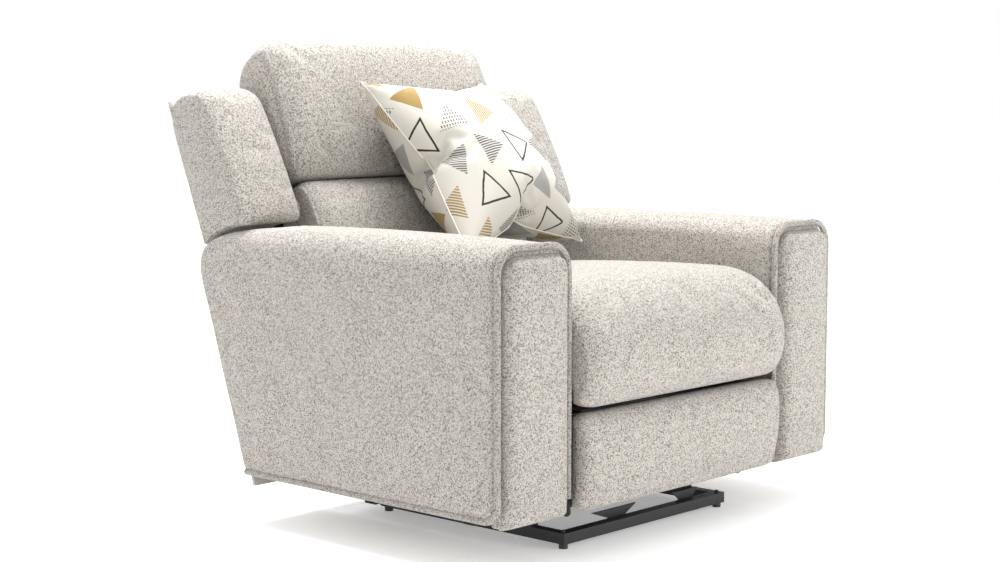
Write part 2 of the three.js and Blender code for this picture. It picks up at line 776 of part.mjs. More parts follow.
function backBracket() {
  const tilt = THREE.MathUtils.degToRad(backTilt);
  const crankAngle = reclinePinAngle - tilt;
  const crank = new THREE.Vector2(reclineCrank * Math.sin(crankAngle + 2 * tilt),
    -reclineCrank * Math.cos(crankAngle + 2 * tilt));
  const origin = new THREE.Vector2(0, 0);
  const x1 = backBracketX + bracketThickness;
  const stem = block(backBracketX, x1, cushionBackY - 16, boardFrontY - gap, -8, lumbarFrom - 8);
  const disc = sweepX(barOutline(origin, crank, 14), backBracketX, x1);
  const foot = sweepX(barOutline(origin, new THREE.Vector2(cushionBackY - 8, 6), 14), backBracketX, x1);
  return cut(join(stem, disc, foot), rodX(0, 0, 7 + rivetClearance, backBracketX - 1, x1 + 1));
}

function reclineTube() {
  const angle = reclinePinAngle + THREE.MathUtils.degToRad(backTilt);
  return rodX(reclineCrank * Math.sin(angle), -reclineCrank * Math.cos(angle), reclineTubeRadius,
    -backBracketX + gap, backBracketX - gap, 20);
}

// ---------------------------------------------------------------- loose cushion
function scatterCushion() {
  const cells = 10;
  const geometry = new THREE.BoxGeometry(cushionSize, cushionThickness, cushionSize, cells, 1, cells);
  const position = geometry.attributes.position;
  const half = cushionSize / 2;
  for (let i = 0; i < position.count; i += 1) {
    const u = position.getX(i) / half;
    const w = position.getZ(i) / half;
    const crown = Math.sqrt(Math.max(0, (1 - u ** 2) * (1 - w ** 2)));
    position.setY(i, Math.sign(position.getY(i)) * (5 + (cushionThickness / 2 - 5) * crown));
    position.setX(i, position.getX(i) * (1 - 0.05 * (1 - w ** 2)));
    position.setZ(i, position.getZ(i) * (1 - 0.05 * (1 - u ** 2)));
  }
  geometry.translate(0, 0, half);
  return geometry;
}

// ---------------------------------------------------------------- assembly
function addArms(chair) {
  place(chair, 'arm_cover_right', armCover(), fabric());
  place(chair, 'arm_cover_left', mirrorX(armCover(panelPockets().map(mirrorX))), fabric());
  pair(chair, 'arm_board', armBoard, timber);
  pair(chair, 'arm_front', armFront, fabric);
  place(chair, 'control_panel', controlPanel(), plastic());
  place(chair, 'open_button', controlButton(0), satin());
  place(chair, 'close_button', controlButton(1), satin());
}

function addBase(chair) {
  place(chair, 'front_rail', frontRail(), steel());
  place(chair, 'rear_rail', crossRail(footRearY), steel());
  pair(chair, 'side_frame', sideFrame, steel);
  pair(chair, 'foot_front', () => levellingFoot(footX, footFrontY), plastic);
  pair(chair, 'foot_rear', () => levellingFoot(footX, footRearY), plastic);
  place(chair, 'arm_beam_front', armBeam(frontBeamY), steel());
  place(chair, 'arm_beam_rear', armBeam(rearBeamY), steel());
  pair(chair, 'glide_channel', glideChannel, zinc);
  place(chair, 'rear_cover', rearCover(), backing());
  place(chair, 'recline_track', reclineTrack(), zinc());
  place(chair, 'recline_motor', gearMotor(reclineMotorY, reclineTrackZ, 1), plastic());
  place(chair, 'power_inlet', powerInlet(), plastic());
}

function addSeat(chair) {
  place(chair, 'seat_cushion', seatCushion(), fabric());
  place(chair, 'seat_frame', seatFrame(), timber());
  for (let i = 0; i < springCount; i += 1) {
    place(chair, `seat_spring_${i + 1}`, seatSpring(i), zinc());
  }
  pair(chair, 'seat_plate', seatPlate, steel);
  place(chair, 'motor_tube', motorTube(), steel());
  place(chair, 'lift_track', liftTrack(), zinc());
  place(chair, 'lift_motor', gearMotor(motorTubeY, liftTrackZ, -1), plastic());
}

function addFootrest(chair) {
  pair(chair, 'lift_link', liftLink, steel);
  place(chair, 'lift_tube', liftTube(), steel());
  pair(chair, 'cross_link', crossLink, steel);
  pair(chair, 'reach_link', reachLink, steel);
  pair(chair, 'outer_link', outerLink, steel);
  pair(chair, 'footrest_bracket', footrestBracket, steel);
  place(chair, 'footrest_board', footrestBoard(), timber());
  place(chair, 'footrest_pad', footrestPad(), fabric());
  place(chair, 'lift_carriage', liftCarriage(), plastic());
  place(chair, 'recline_carriage', reclineCarriage(), plastic());
}

function addBack(chair) {
  const back = new THREE.Group();
  back.position.set(0, backPivot.y, backPivot.z);
  back.rotation.x = -THREE.MathUtils.degToRad(backTilt);
  place(back, 'back_board', backBoard(), timber());
  place(back, 'outside_back', outsideBack(), backing());
  place(back, 'lumbar_cushion', lumbarCushion(), fabric());
  place(back, 'head_cushion', headCushion(), fabric());
  pair(back, 'wing', wing, fabric);
  pair(back, 'back_bracket', backBracket, steel);
  place(back, 'recline_tube', reclineTube(), steel());
  chair.add(back);
}

function addScatterCushion(chair) {
  const cushion = place(chair, 'scatter_cushion', scatterCushion(), fabric());
  cushion.position.set(cushionFoot.x, cushionFoot.y, cushionFoot.z);
  cushion.rotation.x = -THREE.MathUtils.degToRad(cushionLean);
}

const chair = new THREE.Group();
addBase(chair);
addArms(chair);
addSeat(chair);
addFootrest(chair);
addBack(chair);
addScatterCushion(chair);

export default chair;
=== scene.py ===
# Looks for the power recliner armchair: upholstery, piping, loose cushion, metalwork, light, camera.
# Lengths are in millimetres inside the builders and in metres on the objects.
import json
import math

import bmesh
import bpy
import numpy as np
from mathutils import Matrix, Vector


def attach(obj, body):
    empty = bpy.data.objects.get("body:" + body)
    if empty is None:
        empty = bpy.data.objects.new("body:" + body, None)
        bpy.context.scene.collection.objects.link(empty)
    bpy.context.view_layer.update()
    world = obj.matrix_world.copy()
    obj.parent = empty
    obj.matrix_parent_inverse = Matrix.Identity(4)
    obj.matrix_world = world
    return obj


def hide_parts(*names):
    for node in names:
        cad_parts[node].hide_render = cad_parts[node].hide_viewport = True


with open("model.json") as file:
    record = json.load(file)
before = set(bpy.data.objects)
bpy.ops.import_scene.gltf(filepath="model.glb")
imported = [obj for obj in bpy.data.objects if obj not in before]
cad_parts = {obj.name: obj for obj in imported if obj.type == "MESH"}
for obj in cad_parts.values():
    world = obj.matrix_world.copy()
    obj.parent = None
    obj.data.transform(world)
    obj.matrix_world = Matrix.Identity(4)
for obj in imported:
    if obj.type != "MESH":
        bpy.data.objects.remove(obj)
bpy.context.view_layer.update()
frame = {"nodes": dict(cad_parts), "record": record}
scene = bpy.context.scene

MM = 0.001
PIVOT_Y, PIVOT_Z, TILT = 238.0, 300.0, math.radians(23)
ARM_IN, ARM_OUT = 331.0, 530.0
ARM_MIDDLE = (ARM_IN + ARM_OUT) / 2
SKIRT_Z, ARM_TOP = 94.0, 604.0
ARM_RADIUS = 52.0          # rounding of the arm's top edges
HEM_RADIUS = 30.0          # lower front corner of the arm's side panel
REAR_FOOT_Y, REAR_FOOT_Z, REAR_RAKE = 246.0, 106.0, 0.3408
BACK_HALF = 321.5          # outside cover between the arms
WING_Z = 313.0             # along the back, where it grows wide above the arms
WING_HALF = 506.0


# ------------------------------------------------------------------ node helpers
class Nodes:
    """Short hand for building a shader's node tree."""

    def __init__(self, name):
        self.material = bpy.data.materials.new(name)
        self.material.use_nodes = True
        self.tree = self.material.node_tree
        self.shader = self.tree.nodes["Principled BSDF"]

    def put(self, socket, value):
        """Links an output socket, or sets a constant."""
        if hasattr(value, "is_output"):
            self.tree.links.new(value, socket)
        elif value is not None:
            socket.default_value = value

    def math(self, operation, a, b=None, c=None):
        node = self.tree.nodes.new("ShaderNodeMath")
        node.operation = operation
        for socket, value in zip(node.inputs, (a, b, c)):
            self.put(socket, value)
        return node.outputs[0]

    def node(self, kind, out=0, **inputs):
        node = self.tree.nodes.new(kind)
        for key, value in inputs.items():
            self.put(node.inputs[key.replace("_", " ")], value)
        return node.outputs[out]

    def coords(self, kind="Object", stretch=None):
        out = self.tree.nodes.new("ShaderNodeTexCoord").outputs[kind]
        if stretch is None:
            return out
        node = self.tree.nodes.new("ShaderNodeMapping")
        node.inputs["Scale"].default_value = stretch
        self.tree.links.new(out, node.inputs["Vector"])
        return node.outputs[0]

    def ramp(self, fac, stops):
        node = self.tree.nodes.new("ShaderNodeValToRGB")
        while len(node.color_ramp.elements) < len(stops):
            node.color_ramp.elements.new(0.5)
        for element, (at, colour) in zip(node.color_ramp.elements, stops):
            element.position = at
            element.color = (*colour, 1) if len(colour) == 3 else colour
        self.put(node.inputs[0], fac)
        return node.outputs[0]

    def mix(self, fac, a, b):
        node = self.tree.nodes.new("ShaderNodeMix")
        node.data_type = "RGBA"
        self.put(node.inputs[0], fac)
        self.put(node.inputs[6], (*a, 1) if isinstance(a, tuple) else a)
        self.put(node.inputs[7], (*b, 1) if isinstance(b, tuple) else b)
        return node.outputs[2]

    def bump(self, height, strength, distance, normal=None):
        node = self.tree.nodes.new("ShaderNodeBump")
        node.inputs["Strength"].default_value = strength
        node.inputs["Distance"].default_value = distance
        self.put(node.inputs["Height"], height)
        if normal is not None:
            self.tree.links.new(normal, node.inputs["Normal"])
        return node.outputs[0]

    def noise(self, vector, scale, detail=2.0, out=0, roughness=0.5):
        return self.node("ShaderNodeTexNoise", out, Vector=vector, Scale=scale, Detail=detail,
                         Roughness=roughness)

    def surface(self, colour=None, roughness=None, normal=None, **constants):
        self.put(self.shader.inputs["Base Color"], (*colour, 1) if isinstance(colour, tuple) else colour)
        self.put(self.shader.inputs["Roughness"], roughness)
        if normal is not None:
            self.tree.links.new(normal, self.shader.inputs["Normal"])
        for key, value in constants.items():
            self.shader.inputs[key.replace("_", " ")].default_value = value
        return self.material


# ------------------------------------------------------------------ materials
def chenille(name, tint=1.0):
    """Flecked boucle: cream, sand and brown-grey yarn ends about two millimetres across."""
    n = Nodes(name)
    at = n.coords()
    warped = n.node("ShaderNodeVectorMath")
    n.put(warped.node.inputs[0], at)
    swirl = n.noise(at, 170.0, 2.0, out=1)
    scaled = n.tree.nodes.new("ShaderNodeVectorMath")
    scaled.operation = "SCALE"
    scaled.inputs["Scale"].default_value = 0.0026
    n.tree.links.new(swirl, scaled.inputs[0])
    n.tree.links.new(scaled.outputs[0], warped.node.inputs[1])
    cells = n.tree.nodes.new("ShaderNodeTexVoronoi")
    cells.inputs["Scale"].default_value = 560.0
    n.tree.links.new(warped, cells.inputs["Vector"])
    pick = n.node("ShaderNodeSeparateColor", 0, Color=cells.outputs["Color"])
    light = tuple(min(1.0, c * tint) for c in (0.500, 0.475, 0.438))
    sand = tuple(c * tint for c in (0.375, 0.347, 0.312))
    mid = tuple(c * tint for c in (0.225, 0.203, 0.180))
    dark = tuple(c * tint for c in (0.11, 0.096, 0.085))
    clump = n.noise(at, 190.0, 2.0)
    lean = n.math("MULTIPLY_ADD", n.math("SUBTRACT", clump, 0.5), 0.32, pick)
    yarn = n.ramp(lean, [(0.0, light), (0.34, light), (0.46, sand), (0.64, sand), (0.76, mid),
                         (0.90, dark)])
    patch = n.noise(at, 7.0, 3.0)
    colour = n.mix(n.math("MULTIPLY", patch, 0.30), yarn, (0.365 * tint, 0.342 * tint, 0.312 * tint))
    hollow = n.ramp(cells.outputs["Distance"],
                    [(0.0, (1, 1, 1)), (0.55, (0.62, 0.62, 0.62)), (1.0, (0, 0, 0))])
    loops = n.bump(hollow, 0.55, 0.0016)
    fuzz = n.bump(n.noise(at, 1400.0, 2.0), 0.25, 0.0006, loops)
    sag = n.bump(n.noise(at, 16.0, 2.0), 0.25, 0.004, fuzz)
    return n.surface(colour, 0.94, sag, Sheen_Weight=0.12, Sheen_Roughness=0.5,
                     Specular_IOR_Level=0.15)


def backing_cloth(name, colour):
    """Plain woven cover cloth."""
    n = Nodes(name)
    at = n.coords()
    weave = n.node("ShaderNodeTexChecker", 1, Vector=at, Scale=900.0)
    speckle = n.noise(at, 260.0, 3.0)
    tone = n.mix(n.math("MULTIPLY", speckle, 0.5), colour, tuple(c * 0.72 for c in colour))
    tone = n.mix(n.math("MULTIPLY", weave, 0.15), tone, tuple(c * 0.6 for c in colour))
    rough = n.bump(weave, 0.3, 0.0004)
    slack = n.bump(n.noise(at, 11.0, 3.0), 0.4, 0.006, rough)
    return n.surface(tone, 0.92, slack, Sheen_Weight=0.1, Specular_IOR_Level=0.2)


def painted_steel(name):
    """Black stoved paint with a little orange peel and dust."""
    n = Nodes(name)
    at = n.coords()
    peel = n.noise(at, 600.0, 3.0)
    dust = n.noise(at, 24.0, 4.0)
    colour = n.mix(n.math("MULTIPLY", dust, 0.35), (0.012, 0.012, 0.013), (0.045, 0.044, 0.042))
    rough = n.math("MULTIPLY_ADD", dust, 0.22, 0.30)
    return n.surface(colour, rough, n.bump(peel, 0.18, 0.0004), Metallic=0.25, Specular_IOR_Level=0.5)


def zinc(name):
    """Zinc plate with a faint spangle."""
    n = Nodes(name)
    at = n.coords()
    spangle = n.tree.nodes.new("ShaderNodeTexVoronoi")
    spangle.inputs["Scale"].default_value = 140.0
    n.tree.links.new(at, spangle.inputs["Vector"])
    grey = n.node("ShaderNodeSeparateColor", 0, Color=spangle.outputs["Color"])
    colour = n.mix(grey, (0.50, 0.51, 0.52), (0.68, 0.69, 0.70))
    rough = n.math("MULTIPLY_ADD", n.noise(at, 60.0, 3.0), 0.25, 0.28)
    return n.surface(colour, rough, n.bump(grey, 0.06, 0.0003), Metallic=0.95)


def moulded(name, colour):
    """Moulded plastic with fine pits."""
    n = Nodes(name)
    at = n.coords()
    pits = n.noise(at, 900.0, 3.0)
    scuffed = tuple(c * 1.8 + 0.004 for c in colour)
    tone = n.mix(n.math("MULTIPLY", n.noise(at, 30.0, 3.0), 0.3), colour, scuffed)
    rough = n.math("MULTIPLY_ADD", pits, 0.2, 0.42)
    return n.surface(tone, rough, n.bump(pits, 0.2, 0.0003))


def plywood(name):
    """Pale timber with its grain along X."""
    n = Nodes(name)
    at = n.coords(stretch=(1.2, 9.0, 9.0))
    rings = n.noise(at, 9.0, 6.0, roughness=0.6)
    fine = n.noise(n.coords(stretch=(3.0, 120.0, 120.0)), 8.0, 3.0)
    colour = n.ramp(rings, [(0.25, (0.50, 0.34, 0.19)), (0.5, (0.66, 0.49, 0.30)),
                            (0.75, (0.74, 0.58, 0.38))])
    colour = n.mix(n.math("MULTIPLY", fine, 0.35), colour, (0.42, 0.28, 0.15))
    return n.surface(colour, 0.62, n.bump(fine, 0.15, 0.0004))


def satin_metal(name):
    """Brushed metal for the buttons."""
    n = Nodes(name)
    at = n.coords(stretch=(1.0, 1.0, 60.0))
    lines = n.noise(at, 120.0, 3.0)
    rough = n.math("MULTIPLY_ADD", lines, 0.2, 0.22)
    return n.surface((0.62, 0.63, 0.65), rough, n.bump(lines, 0.08, 0.0002), Metallic=1.0)


def triangle_print(name):
    """Cream cloth with a scattered print of drawn, hatched, dotted and solid triangles."""
    n = Nodes(name)
    uv = n.coords("UV")
    wobble = n.node("ShaderNodeSeparateXYZ", 0, Vector=n.noise(uv, 16.0, 3.0, out=1)).node
    split = n.node("ShaderNodeSeparateXYZ", 0, Vector=uv).node

    def layer(cells, shift, salt, size):
        """One scatter of triangles: distance to the edge, place in the turned cell and a random value."""
        u = n.math("MULTIPLY_ADD", split.outputs[0], cells, shift[0])
        w = n.math("MULTIPLY_ADD", split.outputs[1], cells, shift[1])
        row = n.math("FLOOR", w)
        u = n.math("ADD", u, n.math("MULTIPLY", n.math("MODULO", row, 2.0), 0.5))
        column = n.math("FLOOR", u)
        ident = n.node("ShaderNodeCombineXYZ", 0, X=column, Y=row, Z=salt)
        random = n.tree.nodes.new("ShaderNodeTexWhiteNoise")
        random.noise_dimensions = "3D"
        n.tree.links.new(ident, random.inputs["Vector"])
        value = random.outputs["Value"]
        hue = n.node("ShaderNodeSeparateColor", 0, Color=random.outputs["Color"]).node
        x = n.math("SUBTRACT", n.math("SUBTRACT", u, column), 0.5)
        y = n.math("SUBTRACT", n.math("SUBTRACT", w, row), 0.5)
        x = n.math("MULTIPLY_ADD", n.math("SUBTRACT", hue.outputs[0], 0.5), -0.08, x)
        angle = n.math("MULTIPLY", n.math("SUBTRACT", hue.outputs[1], 0.5), 5.2)
        c, s = n.math("COSINE", angle), n.math("SINE", angle)
        px = n.math("SUBTRACT", n.math("MULTIPLY", x, c), n.math("MULTIPLY", y, s))
        py = n.math("ADD", n.math("MULTIPLY", x, s), n.math("MULTIPLY", y, c))
        px = n.math("MULTIPLY_ADD", n.math("SUBTRACT", wobble.outputs[0], 0.5), 0.05, px)
        py = n.math("MULTIPLY_ADD", n.math("SUBTRACT", wobble.outputs[1], 0.5), 0.05, py)
        base = n.math("SUBTRACT", n.math("MULTIPLY", py, -1.0), size * 0.52)
        slope = n.math("MULTIPLY_ADD", n.math("ABSOLUTE", px), 0.86,
                       n.math("MULTIPLY_ADD", py, 0.51, -size * 0.47))
        distance = n.math("MAXIMUM", base, slope)
        return distance, px, py, value

    def below(value, limit):
        return n.math("LESS_THAN", value, limit)

    def between(value, low, high):
        return n.math("MULTIPLY", n.math("GREATER_THAN", value, low), below(value, high))

    def stripes(coordinate, pitch, share):
        return below(n.math("FRACT", n.math("MULTIPLY", coordinate, pitch)), share)

    cream, black = (0.56, 0.535, 0.48), (0.018, 0.018, 0.02)
    ochre, grey, pale = (0.27, 0.165, 0.028), (0.06, 0.06, 0.064), (0.27, 0.265, 0.255)
    colour = cream
    distance, px, py, value = layer(5.2, (11.3, 7.2), 1.0, 0.50)
    inside = below(distance, 0.0)
    kinds = [
        (between(value, 0.00, 0.14), pale, None),
        (between(value, 0.14, 0.30), ochre, stripes(py, 15.0, 0.62)),
        (between(value, 0.30, 0.38), ochre, None),
        (between(value, 0.38, 0.52), grey, stripes(px, 17.0, 0.60)),
        (between(value, 0.52, 0.64), grey,
         n.math("MULTIPLY", stripes(px, 14.0, 0.5), stripes(py, 10.0, 0.62))),
    ]
    for kind, ink, pattern in kinds:
        mask = n.math("MULTIPLY", inside, kind)
        if pattern is not None:
            mask = n.math("MULTIPLY", mask, pattern)
        colour = n.mix(n.math("MULTIPLY", mask, 0.93), colour, ink)
    drawn = n.math("GREATER_THAN", value, 0.64)
    line = n.math("MULTIPLY", below(n.math("ABSOLUTE", distance), 0.025), drawn)
    colour = n.mix(line, colour, black)
    warp = n.node("ShaderNodeTexWave", 1, Vector=uv, Scale=95.0)
    weft_node = n.tree.nodes.new("ShaderNodeTexWave")
    weft_node.bands_direction = "Y"
    weft_node.inputs["Scale"].default_value = 95.0
    n.tree.links.new(uv, weft_node.inputs["Vector"])
    weave = n.math("MULTIPLY", warp, weft_node.outputs[1])
    colour = n.mix(n.math("MULTIPLY", weave, 0.12), colour, (0.55, 0.51, 0.44))
    soft = n.bump(weave, 0.3, 0.0004)
    crease = n.bump(n.noise(n.coords(), 14.0, 3.0), 0.25, 0.004, soft)
    return n.surface(colour, 0.85, crease, Sheen_Weight=0.12, Specular_IOR_Level=0.2)


FABRIC = chenille("Fabric_Oatmeal", 0.96)
FABRIC_CORD = chenille("Fabric_Oatmeal_Cord", 0.84)
BACKING = backing_cloth("Cloth_Backing", (0.43, 0.41, 0.385))
# Near-black cloth: a real dust cover under the footrest, and painted shade where the back board shows
DUST_COVER_AND_SHADE = backing_cloth("Cloth_Dust_Cover_And_Shade", (0.05, 0.05, 0.052))
STEEL = painted_steel("Steel_Black")
ZINC = zinc("Steel_Zinc")
PLASTIC = moulded("Plastic_Black", (0.022, 0.022, 0.024))
TIMBER = plywood("Timber_Ply")
SATIN = satin_metal("Metal_Satin")
PRINT = triangle_print("Cloth_Triangle_Print")
PRINT_CORD = backing_cloth("Cloth_Cream_Cord", (0.70, 0.66, 0.58))

NODE_MATERIALS = {"black_steel": STEEL, "zinc_steel": ZINC, "black_plastic": PLASTIC, "timber": TIMBER,
                  "satin_button": SATIN, "backing_fabric": BACKING, "oatmeal_fabric": FABRIC,
                  "cushion_print": PRINT}
# Both boards take the near-black cloth: a real dust cover on the footrest's underside, and painted shade on
# the back board's edges in the gaps
SHADE_AND_DUST_COVER_BOARDS = {"back_board": DUST_COVER_AND_SHADE, "footrest_board": DUST_COVER_AND_SHADE}
for part in frame["record"]["subparts"]:
    node = frame["nodes"][part["node"]]
    node.data.materials.clear()
    node.data.materials.append(SHADE_AND_DUST_COVER_BOARDS.get(part["node"], NODE_MATERIALS[part["material_slot"]]))


# ------------------------------------------------------------------ geometry helpers
def add_object(name, verts, faces, material, body, stands_for=()):
    """Smooth shaded mesh, riding on a body and replacing the CAD nodes it stands for."""
    mesh = bpy.data.meshes.new(name)
    mesh.from_pydata((np.asarray(verts, float) * MM).tolist(), [], faces)
    mesh.update()
    tidy = bmesh.new()
    tidy.from_mesh(mesh)
    bmesh.ops.recalc_face_normals(tidy, faces=tidy.faces)
    tidy.to_mesh(mesh)
    tidy.free()
    mesh.polygons.foreach_set("use_smooth", [True] * len(mesh.polygons))
    mesh.materials.append(material)
    made = bpy.data.objects.new(name, mesh)
    scene.collection.objects.link(made)
    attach(made, body)
    if stands_for:
        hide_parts(*stands_for)
    return made


def subdivide(made):
    """Rounds the mesh off with a subdivision modifier."""
    modifier = made.modifiers.new("Soft", "SUBSURF")
    modifier.levels = 1
    modifier.render_levels = 1


def smoothstep(x, low, high):
    """0 below low, 1 above high, eased between them."""
    t = np.clip((np.asarray(x, float) - low) / (high - low), 0, 1)
    return t * t * (3 - 2 * t)


def resample(points, step, closed=True):
    """The path again in equal steps."""
    points = np.asarray(points, float)
    loop = np.vstack([points, points[:1]]) if closed else points
    lengths = np.r_[0, np.cumsum(np.linalg.norm(np.diff(loop, axis=0), axis=1))]
    count = max(4, int(round(lengths[-1] / step)))
    at = np.linspace(0, lengths[-1], count + 1)
    out = np.stack([np.interp(at, lengths, loop[:, k]) for k in range(points.shape[1])], 1)
    return out[:-1] if closed else out


def rounded(points, radius, step):
    """Closed outline with its corners eased over about the radius, at an even step."""
    fine = resample(points, 2.0)
    reach = max(1, int(radius / 2.0))
    kernel = np.hanning(2 * reach + 3)[1:-1]
    kernel /= kernel.sum()
    wrapped = np.vstack([fine[-reach:], fine, fine[:reach]])
    soft = np.stack([np.convolve(wrapped[:, k], kernel, "valid") for k in range(2)], 1)
    return resample(soft, step)


def outward(loop):
    """Outward normals of a closed outline."""
    tangent = np.roll(loop, -1, 0) - np.roll(loop, 1, 0)
    tangent /= np.linalg.norm(tangent, axis=1)[:, None] + 1e-9
    area = np.sum(loop[:, 0] * np.roll(loop[:, 1], -1) - np.roll(loop[:, 0], -1) * loop[:, 1])
    return np.stack([tangent[:, 1], -tangent[:, 0]], 1) * (1 if area > 0 else -1)


def bezier(p0, p1, p2, p3, count=12):
    """Points of a cubic curve after its start."""
    t = np.linspace(0, 1, count + 1)[1:, None]
    p0, p1, p2, p3 = map(np.asarray, (p0, p1, p2, p3))
    return ((1 - t) ** 3 * p0 + 3 * (1 - t) ** 2 * t * p1 + 3 * (1 - t) * t ** 2 * p2 + t ** 3 * p3).tolist()


def upright(x, a, b):
    """Outline plane (y, z) as it stands in the room."""
    return np.stack([x, a, b], 1)


def on_back(x, a, b):
    """Outline plane along the tilted back, measured from its pivot."""
    return np.stack([x, PIVOT_Y + a * math.cos(TILT) + b * math.sin(TILT),
                     PIVOT_Z - a * math.sin(TILT) + b * math.cos(TILT)], 1)


# End profiles: distance in from the end and how far the outline draws in there.
SEAM = ((0.0, -17.0), (0.6, -12.0), (2.2, -9.4), (4.6, -10.2), (7.0, -7.2), (11.0, -4.2), (17.0, -1.9),
        (26.0, -0.4))
FINE = ((0.0, -8.5), (0.8, -5.4), (2.4, -3.6), (3.9, -4.3), (5.6, -2.9), (9.5, -1.2), (16.0, -0.2))
SOFT = ((0.0, -30.0), (1.0, -21.0), (3.4, -14.5), (6.0, -13.6), (9.0, -10.2), (15.0, -6.0), (24.0, -2.8),
        (38.0, -0.6))
ROLL = ((0.0, -36.0), (1.5, -26.0), (5.0, -17.0), (10.5, -10.0), (18.0, -5.0), (28.0, -1.6), (40.0, 0.0))
TIGHT = ((0.0, -22.0), (1.2, -14.5), (4.0, -8.8), (9.0, -4.6), (16.0, -1.8), (25.0, -0.3))


def bolster(name, outline, x0, x1, place, body, stands_for, free, crown, crown_on, puff,
            ends=(SEAM, SEAM), bulges=(0.0, 0.0), ease=10.0, step=9.0, centre=None):
    """Upholstered form: an outline carried across X, rolled into its end seams, with end panels.

    free(points, normals) gives 0 to 1 for how far each point may swell in the cloth simulation."""
    loop = rounded(outline, ease, step)
    normal = outward(loop)
    count = len(loop)
    width = x1 - x0
    left = [(x0 + d, off) for d, off in ends[0]]
    right = [(x1 - d, off) for d, off in ends[1]][::-1]
    start, stop = left[-1][0], right[0][0]
    inner = int(round((stop - start) / step))
    columns = left + [(start + (stop - start) * k / inner, 0.0) for k in range(1, inner)] + right
    weight = crown_on(loop, normal)
    rings, freedom = [], []
    for x, off in columns:
        across = (x - x0) / width * 2 - 1
        lift = off + crown * (1 - across ** 2) ** 0.8 * weight
        at = loop + normal * lift[:, None]
        rings.append(place(np.full(count, x), at[:, 0], at[:, 1]))
        edge = min(smoothstep(x - x0, 5, 34), smoothstep(x1 - x, 5, 34))
        freedom.append(free(loop, normal) * edge)
    verts = np.vstack(rings)
    faces = []
    for k in range(len(columns) - 1):
        for i in range(count):
            j = (i + 1) % count
            faces.append((k * count + i, k * count + j, (k + 1) * count + j, (k + 1) * count + i))
    middle = np.asarray(centre if centre is not None else loop.mean(0), float)
    verts, freedom = [verts], [np.concatenate(freedom)]
    base = len(columns) * count
    last = len(columns) - 1
    for side, (x, off), sign, bulge in ((0, columns[0], -1, bulges[0]), (last, columns[-1], 1, bulges[1])):
        edge = loop + normal * off
        previous = side * count
        for t in (0.03, 0.10, 0.24, 0.42, 0.63, 0.84):
            ring = edge + (middle - edge) * t
            swell = sign * bulge * (1 - (1 - t) ** 2.4)
            verts.append(place(np.full(count, x + swell), ring[:, 0], ring[:, 1]))
            freedom.append(np.zeros(count))
            for i in range(count):
                j = (i + 1) % count
                faces.append((previous + i, previous + j, base + j, base + i))
            previous = base
            base += count
        verts.append(place(np.array([x + sign * bulge]), middle[:1], middle[1:]))
        freedom.append(np.zeros(1))
        for i in range(count):
            faces.append((previous + i, previous + (i + 1) % count, base))
        base += 1
    made = add_object(name, np.vstack(verts), faces, FABRIC, body, stands_for=stands_for)
    inflate(made, np.concatenate(freedom), **puff)
    subdivide(made)
    return made


def inflate(made, freedom, pressure, cap, grow, stiff=1.2, frames=20):
    """Swells the free points by cloth pressure, with the rest held, and writes the result to the mesh."""
    mesh = made.data
    rest = np.empty(len(mesh.vertices) * 3)
    mesh.vertices.foreach_get("co", rest)
    rest = rest.reshape(-1, 3)
    held = made.vertex_groups.new(name="held")
    for index, value in enumerate(1 - np.clip(freedom, 0, 1)):
        if value > 0:
            held.add([index], float(value), "REPLACE")
    cloth = made.modifiers.new("Cloth", "CLOTH")
    settings = cloth.settings
    settings.quality = 5
    settings.mass = 0.3
    settings.tension_stiffness = 15
    settings.compression_stiffness = 15
    settings.shear_stiffness = 8
    settings.bending_stiffness = stiff
    settings.shrink_min = -grow
    settings.use_pressure = True
    settings.uniform_pressure_force = pressure
    settings.vertex_group_mass = "held"
    settings.effector_weights.gravity = 0
    cloth.point_cache.frame_start = 1
    cloth.point_cache.frame_end = frames
    for step in range(1, frames + 1):
        scene.frame_set(step)
    graph = bpy.context.evaluated_depsgraph_get()
    done = made.evaluated_get(graph).to_mesh()
    moved = np.empty(len(done.vertices) * 3)
    done.vertices.foreach_get("co", moved)
    moved = moved.reshape(-1, 3)
    shift = moved - rest
    size = np.linalg.norm(shift, axis=1)[:, None]
    limit = cap * MM
    shift *= limit / np.sqrt(limit ** 2 + size ** 2)
    shift[~np.isfinite(shift)] = 0
    made.modifiers.remove(cloth)
    made.vertex_groups.remove(held)
    mesh.vertices.foreach_set("co", (rest + shift).ravel())
    mesh.update()
    scene.frame_set(1)


def tube(name, points, radius, material, body, closed=False, step=8.0):
    """Cord along a path in millimetres."""
    sides = 8
    path = resample(points, step, closed)
    count = len(path)
    tangent = (np.roll(path, -1, 0) - np.roll(path, 1, 0)) if closed else np.gradient(path, axis=0)
    tangent /= np.linalg.norm(tangent, axis=1)[:, None]
    normal = np.cross(tangent[0], [0.3, 0.5, 0.81])
    normal /= np.linalg.norm(normal)
    verts = []
    for k in range(count):
        normal = normal - tangent[k] * (normal @ tangent[k])
        normal /= np.linalg.norm(normal)
        side = np.cross(tangent[k], normal)
        for i in range(sides):
            angle = 2 * math.pi * i / sides
            verts.append(path[k] + radius * (math.cos(angle) * normal + math.sin(angle) * side))
    faces = []
    for k in range(count if closed else count - 1):
        m = (k + 1) % count
        for i in range(sides):
            j = (i + 1) % sides
            faces.append((k * sides + i, k * sides + j, m * sides + j, m * sides + i))
    if not closed:
        faces += [tuple(range(sides)), tuple(range((count - 1) * sides, count * sides))]
    return add_object(name, verts, faces, material, body)


def mirrored(points, sign):
    """Points drawn for +X, carried to the side that sign gives."""
    points = np.array(points, float)
    points[:, 0] *= sign
    return points


